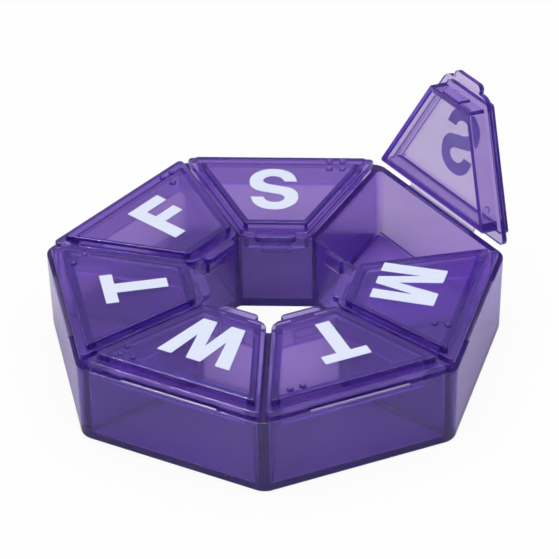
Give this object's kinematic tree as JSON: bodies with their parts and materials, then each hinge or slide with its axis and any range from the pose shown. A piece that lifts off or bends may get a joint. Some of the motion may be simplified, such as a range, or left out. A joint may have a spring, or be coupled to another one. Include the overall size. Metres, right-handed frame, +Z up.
{
  "type": "weekly pill organizer",
  "caption": "Ring-shaped pill box: a low translucent tray of compartments round an open middle, each under its own lid with a film hinge and a finger tab.",
  "frame": {"origin": "the ring's centre, on the surface that the tray stands on", "axes": "+Z up; one corner of the ring points along -Y, and Saturday's side faces +Y"},
  "size_m": [0.092, 0.0892, 0.0459],
  "materials": {
    "tray_plastic": "clear violet moulding, glossy, see-through",
    "lid_plastic": "clear violet moulding, glossy, see-through",
    "hinge_film": "thin clear film, slightly milky where it bends",
    "day_print": "opaque white print"
  },
  "bodies": {
    "tray": {"tray": "tray_plastic", "hinge_saturday": "hinge_film", "hinge_friday": "hinge_film", "hinge_thursday": "hinge_film", "hinge_wednesday": "hinge_film", "hinge_tuesday": "hinge_film", "hinge_monday": "hinge_film", "hinge_sunday": "hinge_film"},
    "lid_saturday": {"lid_saturday": "lid_plastic"},
    "lid_friday": {"lid_friday": "lid_plastic"},
    "lid_thursday": {"lid_thursday": "lid_plastic"},
    "lid_wednesday": {"lid_wednesday": "lid_plastic"},
    "lid_tuesday": {"lid_tuesday": "lid_plastic"},
    "lid_monday": {"lid_monday": "lid_plastic"},
    "lid_sunday": {"lid_sunday": "lid_plastic"}
  },
  "joints": [
    {"name": "saturday_lid_hinge", "type": "hinge", "parent": "tray", "child": "lid_saturday", "pos_m": [0, 0.04231, 0.01725], "axis": [-1, 0, 0], "range_deg": [0, 180], "deforming": ["hinge_saturday"]},
    {"name": "friday_lid_hinge", "type": "hinge", "parent": "tray", "child": "lid_friday", "pos_m": [-0.03308, 0.02638, 0.01725], "axis": [-0.6235, -0.7818, 0], "range_deg": [0, 180], "deforming": ["hinge_friday"]},
    {"name": "thursday_lid_hinge", "type": "hinge", "parent": "tray", "child": "lid_thursday", "pos_m": [-0.04125, -0.00941, 0.01725], "axis": [0.2225, -0.9749, 0], "range_deg": [0, 180], "deforming": ["hinge_thursday"]},
    {"name": "wednesday_lid_hinge", "type": "hinge", "parent": "tray", "child": "lid_wednesday", "pos_m": [-0.01836, -0.03812, 0.01725], "axis": [0.901, -0.4339, 0], "range_deg": [0, 180], "deforming": ["hinge_wednesday"]},
    {"name": "tuesday_lid_hinge", "type": "hinge", "parent": "tray", "child": "lid_tuesday", "pos_m": [0.01836, -0.03812, 0.01725], "axis": [0.901, 0.4339, 0], "range_deg": [0, 180], "deforming": ["hinge_tuesday"]},
    {"name": "monday_lid_hinge", "type": "hinge", "parent": "tray", "child": "lid_monday", "pos_m": [0.04125, -0.00941, 0.01725], "axis": [0.2225, 0.9749, 0], "range_deg": [0, 180], "deforming": ["hinge_monday"]},
    {"name": "sunday_lid_hinge", "type": "hinge", "parent": "tray", "child": "lid_sunday", "pos_m": [0.03308, 0.02638, 0.01725], "axis": [-0.6235, 0.7818, 0], "range_deg": [-102.1, 77.9], "deforming": ["hinge_sunday"]}
  ]
}
